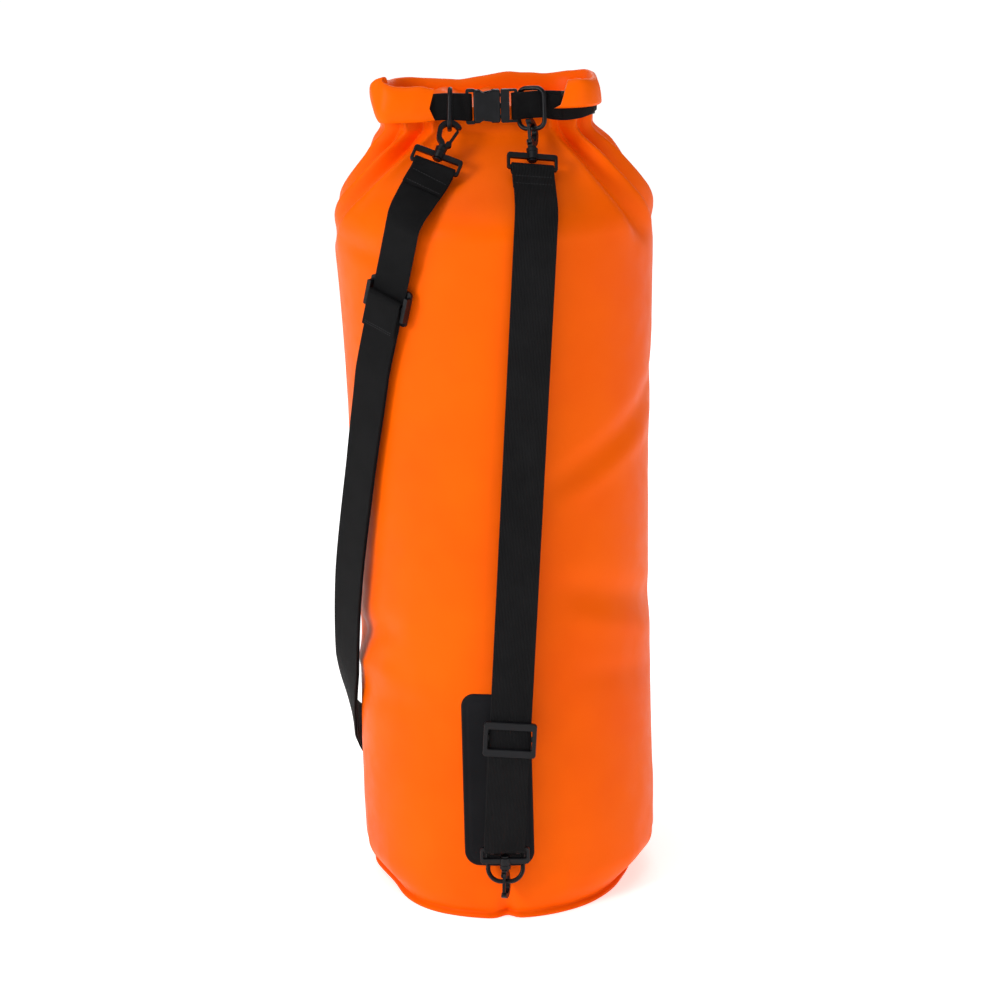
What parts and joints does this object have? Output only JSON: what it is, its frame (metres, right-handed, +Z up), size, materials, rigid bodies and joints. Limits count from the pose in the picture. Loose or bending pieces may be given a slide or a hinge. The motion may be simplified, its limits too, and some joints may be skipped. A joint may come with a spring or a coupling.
{
  "type": "roll-top dry bag",
  "caption": "Tall cylindrical roll-top dry bag with a clipped mouth, welded patches and two shoulder straps on swivel snap hooks.",
  "frame": {"origin": "centre of the base's underside, on the floor", "axes": "+Z up along the bag, -Y towards the side with the buckle, +X to the right seen from that side"},
  "size_m": [0.3296, 0.3328, 0.812],
  "materials": {
    "tarpaulin": "coated fabric, soft satin sheen",
    "webbing": "woven ribbed webbing",
    "patch_fabric": "coated fabric, satin",
    "hardware": "moulded, satin",
    "ring": "moulded, satin",
    "stiffener": "plain strip"
  },
  "bodies": {
    "root": {"bag_tube": "tarpaulin", "base_panel": "tarpaulin", "buckle_plug": "hardware", "buckle_socket": "hardware", "closure_webbing_left": "webbing", "closure_webbing_right": "webbing", "hook_base_lower_front": "hardware", "hook_base_lower_side": "hardware", "hook_base_upper_left": "hardware", "hook_base_upper_right": "hardware", "mouth_stiffener": "stiffener", "patch_front": "patch_fabric", "patch_side": "patch_fabric", "ring_tab_front": "webbing", "ring_tab_side": "webbing", "rolled_mouth": "tarpaulin", "strap_left": "webbing", "strap_return_left": "webbing", "strap_return_right": "webbing", "strap_right": "webbing"},
    "hook_upper_left": {"hook_upper_left": "hardware"},
    "hook_gate_upper_left": {"hook_gate_upper_left": "hardware"},
    "hook_upper_right": {"hook_upper_right": "hardware"},
    "hook_gate_upper_right": {"hook_gate_upper_right": "hardware"},
    "hook_lower_front": {"hook_lower_front": "hardware"},
    "hook_gate_lower_front": {"hook_gate_lower_front": "hardware"},
    "hook_lower_side": {"hook_lower_side": "hardware"},
    "hook_gate_lower_side": {"hook_gate_lower_side": "hardware"},
    "ring_upper_left": {"ring_upper_left": "ring"},
    "ring_upper_right": {"ring_upper_right": "ring"},
    "ring_lower_front": {"ring_lower_front": "ring"},
    "ring_lower_side": {"ring_lower_side": "ring"},
    "slider_right": {"slider_right": "hardware"},
    "slider_left": {"slider_left": "hardware"},
    "buckle_arm_upper": {"buckle_arm_upper": "hardware"},
    "buckle_arm_lower": {"buckle_arm_lower": "hardware"}
  },
  "joints": [
    {"name": "buckle_arm_upper_squeeze", "type": "hinge", "parent": "root", "child": "buckle_arm_upper", "pos_m": [0.0125, -0.083, 0.8015], "axis": [0, -1, 0], "range_deg": [0, 13], "stiffness_Nm_per_rad": 0.05, "springref_deg": -2.86},
    {"name": "buckle_arm_lower_squeeze", "type": "hinge", "parent": "root", "child": "buckle_arm_lower", "pos_m": [0.0125, -0.083, 0.7815], "axis": [0, -1, 0], "range_deg": [-13, 0], "stiffness_Nm_per_rad": 0.05, "springref_deg": 2.86},
    {"name": "ring_upper_left_swing", "type": "hinge", "parent": "root", "child": "ring_upper_left", "pos_m": [-0.0375, -0.0795, 0.8068], "axis": [1, 0, 0], "range_deg": [-3, 3]},
    {"name": "ring_upper_right_swing", "type": "hinge", "parent": "root", "child": "ring_upper_right", "pos_m": [0.0381, -0.0812, 0.8069], "axis": [1, 0, 0], "range_deg": [-0.6, 0.6]},
    {"name": "ring_lower_front_swing", "type": "hinge", "parent": "root", "child": "ring_lower_front", "pos_m": [-0.00543, -0.15551, 0.074], "axis": [0.9994, -0.0349, 0], "range_deg": [-2, 2]},
    {"name": "ring_lower_side_swing", "type": "hinge", "parent": "root", "child": "ring_lower_side", "pos_m": [-0.129, 0.08701, 0.074], "axis": [-0.5592, -0.829, 0], "range_deg": [-2, 2]},
    {"name": "hook_upper_left_swivel", "type": "hinge", "parent": "root", "child": "hook_upper_left", "pos_m": [-0.04868, -0.10259, 0.75129], "axis": [0.3613, 0.5219, 0.7727], "range_deg": [-8, 8]},
    {"name": "hook_gate_upper_left_hinge", "type": "hinge", "parent": "hook_upper_left", "child": "hook_gate_upper_left", "pos_m": [-0.04032, -0.09754, 0.75769], "axis": [0.1141, -0.8472, 0.5188], "range_deg": [0, 14], "stiffness_Nm_per_rad": 0.01, "springref_deg": -8.59},
    {"name": "hook_upper_right_swivel", "type": "hinge", "parent": "root", "child": "hook_upper_right", "pos_m": [0.03756, -0.10089, 0.7478], "axis": [0.02, 0.5707, 0.8209], "range_deg": [-8, 8]},
    {"name": "hook_gate_upper_right_hinge", "type": "hinge", "parent": "hook_upper_right", "child": "hook_gate_upper_right", "pos_m": [0.03596, -0.09856, 0.75913], "axis": [-0.9289, 0.3142, -0.1958], "range_deg": [0, 14], "stiffness_Nm_per_rad": 0.01, "springref_deg": -8.59},
    {"name": "hook_lower_front_swivel", "type": "hinge", "parent": "root", "child": "hook_lower_front", "pos_m": [-0.00576, -0.1649, 0.066], "axis": [0, 0, -1], "range_deg": [-8, 8]},
    {"name": "hook_gate_lower_front_hinge", "type": "hinge", "parent": "hook_lower_front", "child": "hook_gate_lower_front", "pos_m": [-0.00694, -0.16965, 0.0554], "axis": [0.9703, -0.2419, 0], "range_deg": [0, 14], "stiffness_Nm_per_rad": 0.01, "springref_deg": -8.59},
    {"name": "hook_lower_side_swivel", "type": "hinge", "parent": "root", "child": "hook_lower_side", "pos_m": [-0.13679, 0.09227, 0.066], "axis": [0, 0, -1], "range_deg": [-8, 8]},
    {"name": "hook_gate_lower_side_hinge", "type": "hinge", "parent": "hook_lower_side", "child": "hook_gate_lower_side", "pos_m": [-0.14019, 0.09579, 0.0554], "axis": [-0.7193, -0.6947, 0], "range_deg": [0, 14], "stiffness_Nm_per_rad": 0.01, "springref_deg": -8.59},
    {"name": "slider_right_slide", "type": "slide", "parent": "root", "child": "slider_right", "axis": [0.0736, 0.0092, 0.9972], "range_m": [-0.06, 0.28], "deforming": ["strap_return_right"]},
    {"name": "slider_left_slide", "type": "slide", "parent": "root", "child": "slider_left", "axis": [0.227, -0.2202, 0.9487], "range_m": [-0.05, 0.05], "deforming": ["strap_return_left"]}
  ],
  "couplings": [
    {"joint": "buckle_arm_lower_squeeze", "follows": "buckle_arm_upper_squeeze", "ratio": -1}
  ]
}
